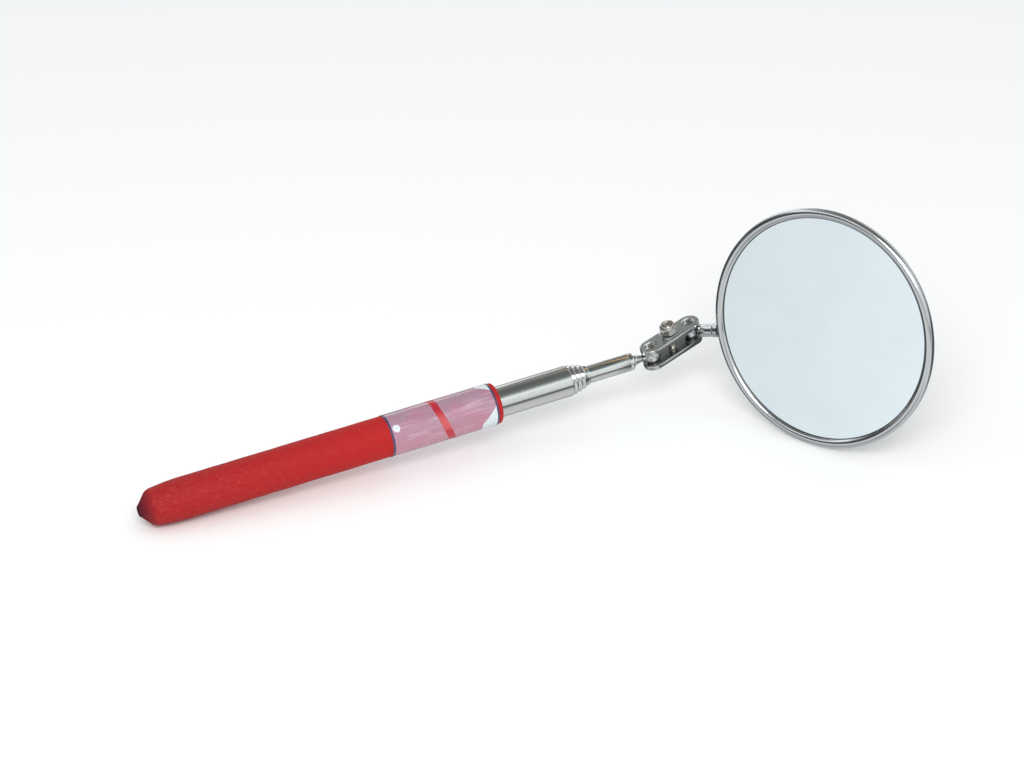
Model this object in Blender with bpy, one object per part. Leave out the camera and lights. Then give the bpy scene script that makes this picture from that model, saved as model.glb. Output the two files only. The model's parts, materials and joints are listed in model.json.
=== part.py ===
"""Telescoping inspection mirror with a cushion grip and a double ball-joint clamp.

Metres, +Z up.  The tool stands the way it is laid on a bench: the butt of the grip and the lower
edge of the mirror touch the floor.  The origin is the middle of the bounding box, at floor level.

Frames, from the handle outwards (each one is an empty):
  handle_frame   Z runs along the handle, from the butt of the grip to the first ball
  clamp_frame    at the first ball, X along the clamp, Z along the tension screw
  stem_frame     at the second ball, Z along the mirror's stem
  mirror_frame   at the middle of the mirror's front, Z pointing out of the glass
"""

from math import acos, asin, cos, degrees, radians, sin, sqrt

import bmesh
import bpy
from mathutils import Matrix, Vector

# ---- Driving dimensions (metres and degrees) ----

GRIP_TIP = -0.0005               # the butt reaches a little behind the frame
GRIP_LENGTH = 0.1260
GRIP_RADIUS = 0.0070
GRIP_NUB_RADIUS = 0.0018         # tip of the butt
GRIP_CONE_LENGTH = 0.0040        # from the frame to the butt's shoulder
GRIP_SHOULDER_RADIUS = 0.0062
GRIP_TAPER_END = 0.0140          # where the full radius is reached
GRIP_BORE_DEPTH_LEFT = 0.0062    # vinyl left behind the tube at the butt

LABEL_START = 0.0860             # along the handle
LABEL_END = 0.1243
LABEL_THICKNESS = 0.0002

OUTER_TUBE_RADIUS = 0.0053
MIDDLE_TUBE_RADIUS = 0.0030
TUBE_WALL = 0.00045
INNER_ROD_RADIUS = 0.0019
NOSE_START = 0.1528              # where the outer tube starts to neck down
NOSE_END = 0.1598
NOSE_BEADS = 3
MIDDLE_TUBE_END = 0.1769
HANDLE_BALL_AT = 0.1845          # along the handle

MIDDLE_TUBE_TRAVEL = 0.118       # pulled out of the outer tube
INNER_ROD_TRAVEL = 0.130         # pulled out of the middle tube
STOP_GAP = 0.0005                # left between sleeve and bush at full travel
PLUG_LENGTH = 0.0045
NOSE_BUSH_LENGTH = 0.0095
MIDDLE_SLEEVE_LENGTH = 0.0080
MIDDLE_BUSH_LENGTH = 0.0085
INNER_SLEEVE_LENGTH = 0.0065
TAIL_LENGTH = 0.0005             # tube left behind its friction sleeve
NOSE_BUSH_LOW = NOSE_START - 0.0012 - NOSE_BUSH_LENGTH
MIDDLE_BUSH_LOW = MIDDLE_TUBE_END - 0.0015 - MIDDLE_BUSH_LENGTH
MIDDLE_SLEEVE_LOW = NOSE_BUSH_LOW - STOP_GAP - MIDDLE_TUBE_TRAVEL - MIDDLE_SLEEVE_LENGTH
INNER_SLEEVE_LOW = MIDDLE_BUSH_LOW - STOP_GAP - INNER_ROD_TRAVEL - INNER_SLEEVE_LENGTH

BALL_RADIUS = 0.0028
BALL_SPACING = 0.0170
NECK_RADIUS = 0.00105
STEM_RADIUS = 0.0022
STEM_NECK_RADIUS = 0.00115
FERRULE_RADIUS = 0.0025
FERRULE_LENGTH = 0.0019

PLATE_END_RADIUS = 0.0037
PLATE_INNER_FACE = 0.0021        # from the middle of the clamp
PLATE_OUTER_FACE = 0.0040
DOME_RADIUS = 0.0023             # footprint of the pressed ball seat
DOME_HEIGHT = 0.00085
BOSS_HALF_WIDTH = 0.0029
BOSS_HEIGHT = 0.0004

SCREW_RADIUS = 0.0015            # M3
NUT_ACROSS_FLATS = 0.0055
NUT_HEX_HEIGHT = 0.0022
NUT_HEIGHT = 0.0034
NUT_COLLAR_RADIUS = 0.0024
INSERT_BORE = 0.0020             # radius of the collar's pocket for the nylon ring
SCREW_HEAD_RADIUS = 0.0028
SINK_RADIUS = 0.0033             # countersink in the lower plate
SINK_LOW = 0.0022                # from the middle of the clamp

MIRROR_RADIUS = 0.04125
MIRROR_DEPTH = 0.0048
GLASS_RADIUS = 0.0396
GLASS_THICKNESS = 0.0020
GLASS_BELOW_RIM = 0.00125
RIM_OPENING_RADIUS = 0.0379
PAD_THICKNESS = 0.0007
SHEET = 0.0006                   # steel of the mirror's cup
BACK_RADIUS = 0.0388             # flat back of the cup
RIM_BEAD_RADIUS = 0.0016         # half-round rolled edge
STEM_TO_RIM = 0.0118             # from the second ball's centre to the rim

HANDLE_PITCH = 4.685             # the handle's rise above the floor
CLAMP_LEAN = -9.0                # screw axis out of square with the handle
CLAMP_SWING = 12.5               # clamp turned about the screw axis, from straight
STEM_SWING = -66.5               # stem turned about the screw axis, from straight
STEM_LEAN = 9.5                  # stem raised out of the clamp's plane
MIRROR_SPIN = -20.0              # mirror turned about its stem

FIT = 0.0001                     # radial gap between turned pieces that run in each other
REST_GAP = 0.0003                # gap where one piece rests on another

COARSE = 24                      # segments of the small turned pieces
MEDIUM = 32
FINE = 64


def clear_scene():
    for old in list(bpy.data.objects):
        bpy.data.objects.remove(old, do_unlink=True)


def turn(axis, degrees):
    return Matrix.Rotation(radians(degrees), 4, axis)


def frame(name, parent=None, at=(0.0, 0.0, 0.0), rotation=None):
    """An empty that other pieces are placed in."""
    empty = bpy.data.objects.new(name, None)
    empty.empty_display_size = 0.01
    bpy.context.scene.collection.objects.link(empty)
    empty.parent = parent
    empty.matrix_basis = Matrix.Translation(at) @ (rotation or Matrix.Identity(4))
    return empty


def material(name, colour, metallic, roughness):
    made = bpy.data.materials.new(name)
    made.use_nodes = True
    shader = made.node_tree.nodes["Principled BSDF"]
    shader.inputs["Base Color"].default_value = (*colour, 1.0)
    shader.inputs["Metallic"].default_value = metallic
    shader.inputs["Roughness"].default_value = roughness
    return made


def finish_mesh(bm, name, parent, look, at=(0.0, 0.0, 0.0)):
    """Turn a bmesh into a named object with its own material."""
    bmesh.ops.remove_doubles(bm, verts=bm.verts, dist=1e-7)
    bmesh.ops.recalc_face_normals(bm, faces=bm.faces)
    mesh = bpy.data.meshes.new(name)
    bm.to_mesh(mesh)
    bm.free()
    mesh.shade_smooth()
    mesh.set_sharp_from_angle(angle=radians(35))
    piece = bpy.data.objects.new(name, mesh)
    bpy.context.scene.collection.objects.link(piece)
    piece.parent = parent
    piece.location = at
    if look is not None:
        mesh.materials.append(look)
    return piece


def turned(name, outline, parent, look, at=(0.0, 0.0, 0.0), segments=MEDIUM, sweep=360.0):
    """A turned piece: (radius, height) points spun about Z.

    An outline that starts and ends on the axis makes a solid, any other one is closed into a ring.
    A sweep under 360 degrees leaves a slit, with flat faces on both sides of it.
    """
    bm = bmesh.new()
    points = [bm.verts.new((radius, 0.0, height)) for radius, height in outline]
    edges = [bm.edges.new(pair) for pair in zip(points, points[1:])]
    if outline[0][0] > 0.0:
        edges.append(bm.edges.new((points[-1], points[0])))
    whole = sweep >= 360.0
    if not whole:
        bmesh.ops.rotate(bm, verts=points, matrix=Matrix.Rotation(radians(180.0 - sweep / 2), 3, "Z"))
    spun = bmesh.ops.spin(bm, geom=points + edges, axis=(0, 0, 1), cent=(0, 0, 0),
                          angle=radians(sweep), steps=segments, use_merge=whole)
    if not whole:
        bm.faces.new(points)
        bm.faces.new([item for item in spun["geom_last"] if isinstance(item, bmesh.types.BMVert)])
    return finish_mesh(bm, name, parent, look, at)


def lofted(name, rings, parent, look, at=(0.0, 0.0, 0.0)):
    """A solid skinned over rings of points that lie one above the other."""
    bm = bmesh.new()
    layers = [[bm.verts.new(point) for point in ring] for ring in rings]
    for lower, upper in zip(layers, layers[1:]):
        for index in range(len(lower)):
            after = (index + 1) % len(lower)
            bm.faces.new((lower[index], lower[after], upper[after], upper[index]))
    bm.faces.new(list(reversed(layers[0])))
    bm.faces.new(layers[-1])
    return finish_mesh(bm, name, parent, look, at)


def combine(piece, other, operation):
    """Join, cut or trim a piece with a helper solid, which stays out of the model."""
    other.hide_render = True
    other.display_type = "WIRE"
    step = piece.modifiers.new(other.name, "BOOLEAN")
    step.operation = operation
    step.solver = "EXACT"
    step.object = other


def arc(centre_radius, centre_height, radius, start, end, steps):
    """Points (radius, height) on an arc; angles in degrees, 0 pointing outwards, 90 up."""
    angles = [radians(start + (end - start) * i / steps) for i in range(steps + 1)]
    return [(centre_radius + radius * cos(a), centre_height + radius * sin(a)) for a in angles]


def pipe(inner, outer, low, high):
    return [(outer, high), (outer, low), (inner, low), (inner, high)]


# ---- Handle ----

def build_grip(parent):
    """Vinyl sleeve, closed and coned at the butt, with a shallow seat for the label."""
    vinyl = material("grip_vinyl", (0.52, 0.02, 0.03), 0.0, 0.55)
    bore = OUTER_TUBE_RADIUS + FIT
    seat = GRIP_RADIUS - LABEL_THICKNESS / 2 - FIT / 2
    step = 0.0002
    nub_edge = 0.0004
    shoulder = 0.0012
    lip = 0.0009
    outline = [(0.0, GRIP_TIP), (GRIP_NUB_RADIUS - nub_edge, GRIP_TIP), (GRIP_NUB_RADIUS, GRIP_TIP + nub_edge)]
    outline += arc(GRIP_SHOULDER_RADIUS - shoulder, GRIP_CONE_LENGTH, shoulder, -40, 5, 3)
    outline += [((GRIP_SHOULDER_RADIUS + 2 * GRIP_RADIUS) / 3, (GRIP_CONE_LENGTH + GRIP_TAPER_END) / 2),
                (GRIP_RADIUS, GRIP_TAPER_END),
                (GRIP_RADIUS, LABEL_START - step),
                (seat, LABEL_START - step),
                (seat, LABEL_END + step),
                (GRIP_RADIUS, LABEL_END + step)]
    outline += arc(GRIP_RADIUS - lip, GRIP_LENGTH - lip, lip, 20, 90, 3)
    outline += [(bore, GRIP_LENGTH), (bore, GRIP_BORE_DEPTH_LEFT), (0.0, GRIP_BORE_DEPTH_LEFT)]
    turned("grip", outline, parent, vinyl)

    film = material("label_film", (0.62, 0.32, 0.40), 0.0, 0.25)
    turned("label", pipe(seat + FIT, seat + FIT + LABEL_THICKNESS, LABEL_START, LABEL_END), parent, film)


def nose_outline(wall):
    """The outer tube's end: rolled beads that step down to the middle tube."""
    end_radius = MIDDLE_TUBE_RADIUS + FIT + wall
    pitch = (NOSE_END - NOSE_START) / NOSE_BEADS
    drop = (OUTER_TUBE_RADIUS - end_radius) / NOSE_BEADS
    points = [(OUTER_TUBE_RADIUS, NOSE_START)]
    for bead in range(NOSE_BEADS):
        low = NOSE_START + bead * pitch
        crest = OUTER_TUBE_RADIUS - (bead + 0.55) * drop
        groove = crest - 0.72 * drop
        points += [(groove, low + 0.25 * pitch), (groove, low + 0.38 * pitch),
                   (crest, low + 0.60 * pitch), (crest, low + 0.82 * pitch)]
    return points + [(end_radius - 0.0001, NOSE_END)]


def build_outer_tube(parent):
    steel = material("outer_tube_steel", (0.60, 0.60, 0.58), 1.0, 0.18)
    rear = GRIP_BORE_DEPTH_LEFT + REST_GAP
    bore = OUTER_TUBE_RADIUS - TUBE_WALL
    throat = MIDDLE_TUBE_RADIUS + FIT
    throat_length = 0.0035
    outside = [(OUTER_TUBE_RADIUS, rear)] + nose_outline(TUBE_WALL)
    inside = [(throat, NOSE_END), (throat, NOSE_END - throat_length), (bore, NOSE_START - 0.0006),
              (bore, rear)]
    turned("outer_tube", outside + inside, parent, steel)

    plug_steel = material("plug_steel", (0.42, 0.42, 0.42), 1.0, 0.35)
    edge = 0.0004
    low = rear + edge
    high = low + PLUG_LENGTH
    radius = bore - FIT
    hollow_radius = 0.0022
    hollow_low = high - 0.0020
    turned("tube_end_plug",
           [(0.0, low), (radius - edge, low), (radius, low + edge), (radius, high),
            (hollow_radius, high), (hollow_radius, hollow_low), (0.0, hollow_low)],
           parent, plug_steel)

    brass = material("bush_brass", (0.62, 0.45, 0.18), 1.0, 0.35)
    turned("nose_bush", pipe(throat, radius, NOSE_BUSH_LOW, NOSE_BUSH_LOW + NOSE_BUSH_LENGTH), parent, brass)


def build_middle_tube(parent):
    """Second tube with a rolled-in front lip, its friction sleeve and its own nose bush."""
    steel = material("middle_tube_steel", (0.62, 0.62, 0.60), 1.0, 0.16)
    rear = MIDDLE_SLEEVE_LOW - TAIL_LENGTH
    bore = MIDDLE_TUBE_RADIUS - TUBE_WALL
    mouth = INNER_ROD_RADIUS + 2 * FIT
    lip = 0.0006
    lip_arc = arc(MIDDLE_TUBE_RADIUS - lip, MIDDLE_TUBE_END - lip, lip, 0, 90, 4)
    inside = [(mouth, MIDDLE_TUBE_END), (mouth, MIDDLE_TUBE_END - TUBE_WALL),
              (bore, MIDDLE_TUBE_END - 2 * TUBE_WALL), (bore, rear)]
    turned("middle_tube", [(MIDDLE_TUBE_RADIUS, rear)] + lip_arc + inside, parent, steel)

    spring_brass = material("middle_sleeve_brass", (0.62, 0.45, 0.18), 1.0, 0.35)
    outer_bore = OUTER_TUBE_RADIUS - TUBE_WALL
    turned("middle_friction_sleeve",
           pipe(MIDDLE_TUBE_RADIUS + FIT, outer_bore - FIT, MIDDLE_SLEEVE_LOW,
                MIDDLE_SLEEVE_LOW + MIDDLE_SLEEVE_LENGTH),
           parent, spring_brass, sweep=335.0)

    bush_brass = material("middle_bush_brass", (0.62, 0.45, 0.18), 1.0, 0.35)
    turned("middle_nose_bush",
           pipe(INNER_ROD_RADIUS + FIT, bore - FIT, MIDDLE_BUSH_LOW, MIDDLE_BUSH_LOW + MIDDLE_BUSH_LENGTH),
           parent, bush_brass, segments=COARSE)


def build_inner_rod(parent):
    steel = material("inner_rod_steel", (0.62, 0.62, 0.60), 1.0, 0.2)
    rear = INNER_SLEEVE_LOW - TAIL_LENGTH
    front = MIDDLE_TUBE_END - REST_GAP
    edge = 0.0003
    turned("inner_rod",
           [(0.0, rear), (INNER_ROD_RADIUS - edge, rear), (INNER_ROD_RADIUS, rear + edge),
            (INNER_ROD_RADIUS, front), (0.0, front)],
           parent, steel, segments=COARSE)
    spring_brass = material("inner_sleeve_brass", (0.62, 0.45, 0.18), 1.0, 0.35)
    middle_bore = MIDDLE_TUBE_RADIUS - TUBE_WALL
    turned("inner_friction_sleeve",
           pipe(INNER_ROD_RADIUS + FIT, middle_bore - FIT, INNER_SLEEVE_LOW,
                INNER_SLEEVE_LOW + INNER_SLEEVE_LENGTH),
           parent, spring_brass, segments=COARSE, sweep=330.0)


def ball_end(neck_radius, steps):
    """Outline of a ball centred at height 0, from its far pole to where the neck leaves it."""
    return [(0.0, -BALL_RADIUS)] + arc(0.0, 0.0, BALL_RADIUS, -90, degrees(acos(neck_radius / BALL_RADIUS)),
                                       steps)[1:]


def build_handle_ball(parent):
    """Ball, neck and cone in one stud, on the front end of the inner rod; the ball is at height 0."""
    chrome = material("handle_ball_chrome", (0.66, 0.66, 0.66), 1.0, 0.1)
    base = MIDDLE_TUBE_END + REST_GAP - HANDLE_BALL_AT
    base_radius = INNER_ROD_RADIUS - 0.00015
    cone_top = -0.0042
    ball = [(radius, -height) for radius, height in ball_end(NECK_RADIUS, 12)]
    outline = ball + [(NECK_RADIUS, -BALL_RADIUS), (NECK_RADIUS, cone_top),
                      (base_radius, base + 0.0006), (base_radius, base), (0.0, base)]
    turned("handle_ball_stud", outline, parent, chrome, segments=COARSE)


# ---- Clamp ----

def stadium(radius, height, per_end=9):
    """One ring of a plate with round ends, each end centred on a ball."""
    ring = []
    for centre, first in ((BALL_SPACING, -90.0), (0.0, 90.0)):
        for index in range(per_end + 1):
            angle = radians(first + 180.0 * index / per_end)
            ring.append((centre + radius * cos(angle), radius * sin(angle), height))
    return ring


def square(half, height):
    middle = BALL_SPACING / 2
    return [(middle + half * a, half * b, height) for a, b in ((1, -1), (1, 1), (-1, 1), (-1, -1))]


def clamp_plate(name, parent, look, side):
    """Stamped plate: round ends, rounded outer edge, two pressed ball seats and a screw hole."""
    edge = 0.0006
    rings = [stadium(PLATE_END_RADIUS - 0.0002, PLATE_INNER_FACE),
             stadium(PLATE_END_RADIUS, PLATE_INNER_FACE + 0.0002),
             stadium(PLATE_END_RADIUS, PLATE_OUTER_FACE - edge),
             stadium(PLATE_END_RADIUS - 0.3 * edge, PLATE_OUTER_FACE - 0.3 * edge),
             stadium(PLATE_END_RADIUS - edge, PLATE_OUTER_FACE)]
    plate = lofted(name, rings, parent, look)
    sphere_radius = (DOME_RADIUS ** 2 + DOME_HEIGHT ** 2) / (2 * DOME_HEIGHT)
    spread = degrees(asin(DOME_RADIUS / sphere_radius))
    dome_top = PLATE_OUTER_FACE + DOME_HEIGHT
    dome_root = PLATE_INNER_FACE + 0.0009
    dome_outline = [(0.0, dome_root), (DOME_RADIUS, dome_root)]
    dome_outline += arc(0.0, dome_top - sphere_radius, sphere_radius, 90 - spread, 90, 5)[:-1]
    dome_outline += [(0.0, dome_top)]
    seat_radius = BALL_RADIUS + FIT
    seat_outline = [(0.0, -seat_radius)]
    seat_outline += arc(0.0, 0.0, seat_radius, -90, 90, 12)[1:-1]
    seat_outline += [(0.0, seat_radius)]
    for index, place in enumerate((0.0, BALL_SPACING)):
        dome = turned(f"{name}_dome_tool_{index}", dome_outline, parent, None, (place, 0, 0), COARSE)
        combine(plate, dome, "UNION")
    for index, place in enumerate((0.0, BALL_SPACING)):
        seat = turned(f"{name}_seat_tool_{index}", seat_outline, parent, None, (place, 0, 0), COARSE)
        combine(plate, seat, "DIFFERENCE")
    hole_radius = SCREW_RADIUS + 2 * FIT
    past = PLATE_OUTER_FACE + 0.002
    hole = turned(f"{name}_hole_tool", [(0.0, 0.0), (hole_radius, 0.0), (hole_radius, past), (0.0, past)],
                  parent, None, (BALL_SPACING / 2, 0, 0), COARSE)
    if side > 0:
        boss = lofted(f"{name}_boss_tool",
                      [square(BOSS_HALF_WIDTH, PLATE_OUTER_FACE - 0.0008),
                       square(BOSS_HALF_WIDTH, PLATE_OUTER_FACE + BOSS_HEIGHT - 0.0002),
                       square(BOSS_HALF_WIDTH - 0.0003, PLATE_OUTER_FACE + BOSS_HEIGHT)], parent, None)
        combine(plate, boss, "UNION")
    else:
        sink = turned(f"{name}_sink_tool",
                      [(0.0, SINK_LOW), (hole_radius, SINK_LOW), (SINK_RADIUS, PLATE_OUTER_FACE),
                       (SINK_RADIUS, past), (0.0, past)], parent, None, (BALL_SPACING / 2, 0, 0), COARSE)
        combine(plate, sink, "DIFFERENCE")
    combine(plate, hole, "DIFFERENCE")
    return plate


def build_clamp(parent):
    upper_chrome = material("upper_plate_chrome", (0.62, 0.62, 0.61), 1.0, 0.14)
    lower_chrome = material("lower_plate_chrome", (0.62, 0.62, 0.61), 1.0, 0.14)
    clamp_plate("clamp_plate_upper", parent, upper_chrome, 1)
    flipped = frame("lower_plate_frame", parent, rotation=turn("X", 180))
    clamp_plate("clamp_plate_lower", flipped, lower_chrome, -1)

    screw_steel = material("tension_screw_steel", (0.52, 0.50, 0.46), 1.0, 0.28)
    tip_edge = 0.0004
    tip = PLATE_OUTER_FACE + BOSS_HEIGHT + REST_GAP + NUT_HEIGHT + tip_edge
    head_root = -SINK_LOW - 0.00015
    screw = turned("tension_screw",
                   [(0.0, -PLATE_OUTER_FACE), (SCREW_HEAD_RADIUS, -PLATE_OUTER_FACE),
                    (SCREW_HEAD_RADIUS, -PLATE_OUTER_FACE + 0.0002), (SCREW_RADIUS, head_root),
                    (SCREW_RADIUS, tip - tip_edge), (SCREW_RADIUS - tip_edge, tip), (0.0, tip)],
                   parent, screw_steel, (BALL_SPACING / 2, 0, 0), COARSE)
    slot_reach = 0.004
    slot_half = 0.0004
    slot_top = -PLATE_OUTER_FACE + 0.0007
    slot = lofted("screw_slot_tool",
                  [[(slot_reach * a, slot_half * b, height) for a, b in ((1, -1), (1, 1), (-1, 1), (-1, -1))]
                   for height in (slot_top - 0.003, slot_top)],
                  parent, None, (BALL_SPACING / 2, 0, 0))
    combine(screw, slot, "DIFFERENCE")


def build_nut(parent):
    """Lock nut: a hexagon with a round collar that holds a nylon ring."""
    steel = material("lock_nut_steel", (0.60, 0.56, 0.50), 1.0, 0.25)
    low = PLATE_OUTER_FACE + BOSS_HEIGHT + REST_GAP
    hex_top = low + NUT_HEX_HEIGHT
    top = low + NUT_HEIGHT
    corner = NUT_ACROSS_FLATS / sqrt(3)
    hexagon = [[(corner * cos(radians(60 * i + 30)), corner * sin(radians(60 * i + 30)), height)
                for i in range(6)] for height in (low, hex_top)]
    nut = lofted("lock_nut", hexagon, parent, steel)
    chamfer = 0.0004
    trim = turned("nut_trim_tool",
                  [(0.0, low - 0.001), (corner - 2 * chamfer, low - 0.001), (corner - chamfer, low),
                   (corner + 0.0001, low + chamfer), (corner + 0.0001, hex_top - chamfer),
                   (corner - chamfer, hex_top), (corner - 2 * chamfer, hex_top + 0.001),
                   (0.0, hex_top + 0.001)], parent, None)
    combine(nut, trim, "INTERSECT")
    collar = turned("nut_collar_tool",
                    [(0.0, hex_top - 0.0008), (NUT_COLLAR_RADIUS, hex_top - 0.0008),
                     (NUT_COLLAR_RADIUS, top - 0.0007), (NUT_COLLAR_RADIUS - 0.0002, top - 0.0002),
                     (NUT_COLLAR_RADIUS - 0.0006, top), (0.0, top)], parent, None, segments=COARSE)
    combine(nut, collar, "UNION")
    bore = SCREW_RADIUS + FIT
    insert_low = hex_top + 0.0001
    insert_high = top - 0.0004
    bore_tool = turned("nut_bore_tool",
                       [(0.0, low - 0.001), (bore, low - 0.001), (bore, insert_low),
                        (INSERT_BORE, insert_low), (INSERT_BORE, insert_high),
                        (INSERT_BORE - 0.0002, top + 0.001), (0.0, top + 0.001)],
                       parent, None, segments=COARSE)
    combine(nut, bore_tool, "DIFFERENCE")

    nylon = material("nut_insert_nylon", (0.75, 0.74, 0.68), 0.0, 0.5)
    turned("nut_insert", pipe(bore, INSERT_BORE - FIT, insert_low + FIT, insert_high - FIT),
           parent, nylon, segments=COARSE)


# ---- Mirror head ----

def build_stem(parent):
    """Ball, neck and rod in one turned stem; the ball is at height 0."""
    chrome = material("mirror_stem_chrome", (0.64, 0.64, 0.66), 1.0, 0.1)
    front = STEM_TO_RIM - REST_GAP
    outline = ball_end(STEM_NECK_RADIUS, 12)
    outline += [(STEM_NECK_RADIUS, BALL_RADIUS), (STEM_NECK_RADIUS, 0.0040), (STEM_RADIUS - 0.0003, 0.0044),
                (STEM_RADIUS, 0.0048), (STEM_RADIUS, front), (0.0, front)]
    turned("mirror_stem", outline, parent, chrome, segments=COARSE)


def build_ferrule(parent):
    """Collar on the rim that the stem ends in."""
    chrome = material("ferrule_chrome", (0.64, 0.64, 0.66), 1.0, 0.14)
    bore = STEM_RADIUS + FIT
    high = STEM_TO_RIM - FIT
    low = high - FERRULE_LENGTH
    turned("stem_ferrule",
           [(bore, low), (bore, high), (FERRULE_RADIUS, high), (FERRULE_RADIUS, low + 0.0008),
            (FERRULE_RADIUS - 0.00012, low)],
           parent, chrome, segments=COARSE)


def build_mirror(parent):
    """Steel cup with a rolled rim, backing pad and glass, all turned about the mirror's axis."""
    chrome = material("mirror_cup_chrome", (0.60, 0.61, 0.62), 1.0, 0.12)
    back = -MIRROR_DEPTH
    bead = RIM_BEAD_RADIUS
    inner_wall = GLASS_RADIUS + FIT
    floor_radius = BACK_RADIUS - 0.0006
    lip_under = -GLASS_BELOW_RIM + REST_GAP
    outline = [(0.0, back), (BACK_RADIUS - 0.0008, back), (BACK_RADIUS, back + 0.0004)]
    outline += arc(MIRROR_RADIUS - bead, -bead, bead, -50, 90, 7)
    outline += [(RIM_OPENING_RADIUS + 0.0008, -0.00035), (RIM_OPENING_RADIUS, -0.0007),
                (RIM_OPENING_RADIUS, lip_under), (inner_wall, lip_under),
                (inner_wall, -GLASS_BELOW_RIM - GLASS_THICKNESS - 0.0001),
                (floor_radius, back + SHEET), (0.0, back + SHEET)]
    turned("mirror_cup", outline, parent, chrome, segments=FINE)

    pad_grey = material("backing_pad_foam", (0.10, 0.10, 0.10), 0.0, 0.9)
    pad_low = back + SHEET + 0.00015
    pad_radius = floor_radius - 0.0004
    turned("backing_pad",
           [(0.0, pad_low), (pad_radius, pad_low), (pad_radius, pad_low + PAD_THICKNESS),
            (0.0, pad_low + PAD_THICKNESS)], parent, pad_grey, segments=FINE)

    silver = material("mirror_glass_silver", (0.85, 0.88, 0.90), 1.0, 0.02)
    top = -GLASS_BELOW_RIM
    bottom = top - GLASS_THICKNESS
    bevel = 0.0004
    turned("mirror_glass",
           [(0.0, bottom), (GLASS_RADIUS, bottom), (GLASS_RADIUS, top - bevel), (GLASS_RADIUS - bevel, top),
            (0.0, top)], parent, silver, segments=FINE)


def stand_on_origin(tool):
    """Move the whole tool so that its box stands on the origin, centred."""
    bpy.context.view_layer.update()
    graph = bpy.context.evaluated_depsgraph_get()
    corners = []
    for piece in bpy.context.scene.objects:
        if piece.type == "MESH" and not piece.hide_render:
            shape = piece.evaluated_get(graph).to_mesh()
            corners += [piece.matrix_world @ vertex.co for vertex in shape.vertices]
    low = Vector([min(point[axis] for point in corners) for axis in range(3)])
    high = Vector([max(point[axis] for point in corners) for axis in range(3)])
    tool.location = (-(low.x + high.x) / 2, -(low.y + high.y) / 2, -low.z)
    bpy.context.view_layer.update()


def build():
    clear_scene()
    tool = frame("tool")
    handle = frame("handle_frame", tool, rotation=turn("Y", 90.0 - HANDLE_PITCH))
    build_grip(handle)
    build_outer_tube(handle)
    middle_slide = frame("middle_slide_frame", handle)
    build_middle_tube(middle_slide)
    inner_slide = frame("inner_slide_frame", middle_slide)
    build_inner_rod(inner_slide)
    handle_ball = frame("handle_ball_frame", inner_slide, (0.0, 0.0, HANDLE_BALL_AT))
    build_handle_ball(handle_ball)

    clamp = frame("clamp_frame", handle_ball, rotation=turn("Y", CLAMP_LEAN - 90.0) @ turn("Z", CLAMP_SWING))
    build_clamp(clamp)
    nut = frame("nut_frame", clamp, (BALL_SPACING / 2, 0.0, 0.0))
    build_nut(nut)

    stem_along_x = turn("Z", STEM_SWING) @ turn("Y", -STEM_LEAN)
    stem = frame("stem_frame", clamp, (BALL_SPACING, 0.0, 0.0), stem_along_x @ turn("Y", 90.0))
    build_stem(stem)
    build_ferrule(stem)
    # In stem_frame, -X is up out of the clamp's plane and Y lies along it.
    spin = turn("Z", MIRROR_SPIN)
    out_of_glass = spin @ turn("X", 90.0)
    middle = spin @ Vector((0.0, -MIRROR_DEPTH / 2, STEM_TO_RIM + MIRROR_RADIUS))
    mirror = frame("mirror_frame", stem, middle, out_of_glass)
    build_mirror(mirror)
    stand_on_origin(tool)


build()
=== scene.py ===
"""Looks of the telescoping inspection mirror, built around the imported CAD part.

Pieces are modelled in millimetres in four local frames (handle, clamp, stem, mirror).  These frames come
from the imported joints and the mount.  The meshes are then written in the row frame, in metres.  Every mesh
keeps its local place in millimetres as the attribute "local", which the materials read.
"""
import json
import math

import bpy
import numpy as np
from mathutils import Matrix, Vector


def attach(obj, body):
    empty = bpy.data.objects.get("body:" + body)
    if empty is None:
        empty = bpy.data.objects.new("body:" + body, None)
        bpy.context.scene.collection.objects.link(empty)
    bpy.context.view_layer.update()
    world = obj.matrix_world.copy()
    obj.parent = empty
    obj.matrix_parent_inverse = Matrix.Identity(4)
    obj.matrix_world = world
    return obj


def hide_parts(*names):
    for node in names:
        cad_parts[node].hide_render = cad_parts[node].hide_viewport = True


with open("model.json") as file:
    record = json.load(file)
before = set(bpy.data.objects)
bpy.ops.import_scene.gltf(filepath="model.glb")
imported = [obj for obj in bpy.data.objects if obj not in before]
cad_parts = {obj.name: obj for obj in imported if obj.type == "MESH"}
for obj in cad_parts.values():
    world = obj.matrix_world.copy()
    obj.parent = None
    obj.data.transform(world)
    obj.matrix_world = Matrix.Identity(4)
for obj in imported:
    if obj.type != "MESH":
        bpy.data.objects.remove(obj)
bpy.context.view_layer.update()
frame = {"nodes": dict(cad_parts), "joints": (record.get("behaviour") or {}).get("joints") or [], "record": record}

# ---- Dimensions repeated from the CAD part, in millimetres ----

BALL_1_AT = 184.5
GRIP_END = 126.0
GRIP_TIP = -0.5
GRIP_R = 7.0
LABEL_LOW = 86.0
LABEL_HIGH = 124.3
TUBE_1_R = 5.3
TUBE_2_R = 3.0
ROD_R = 1.9
NOSE_LOW = 152.8
NOSE_HIGH = 159.8
TUBE_2_END = 176.9
BALL_R = 2.8
SPACING = 17.0
PLATE_R = 3.7
PLATE_IN = 2.1
PLATE_OUT = 4.0
SCREW_R = 1.5
BOSS_HALF = 2.9
BOSS_TOP = 4.4
NUT_LOW = 4.7
NUT_HEX_TOP = 6.9
NUT_TOP = 8.1
NUT_FLATS = 5.5
STEM_R = 2.2
STEM_TO_RIM = 11.8
RIM_R = 41.25
DEPTH = 4.8
GLASS_R = 39.6
GLASS_BELOW_RIM = 1.25
BACK_R = 38.8
BEAD_R = 1.6
GLASS_THICK = 2.0

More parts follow.
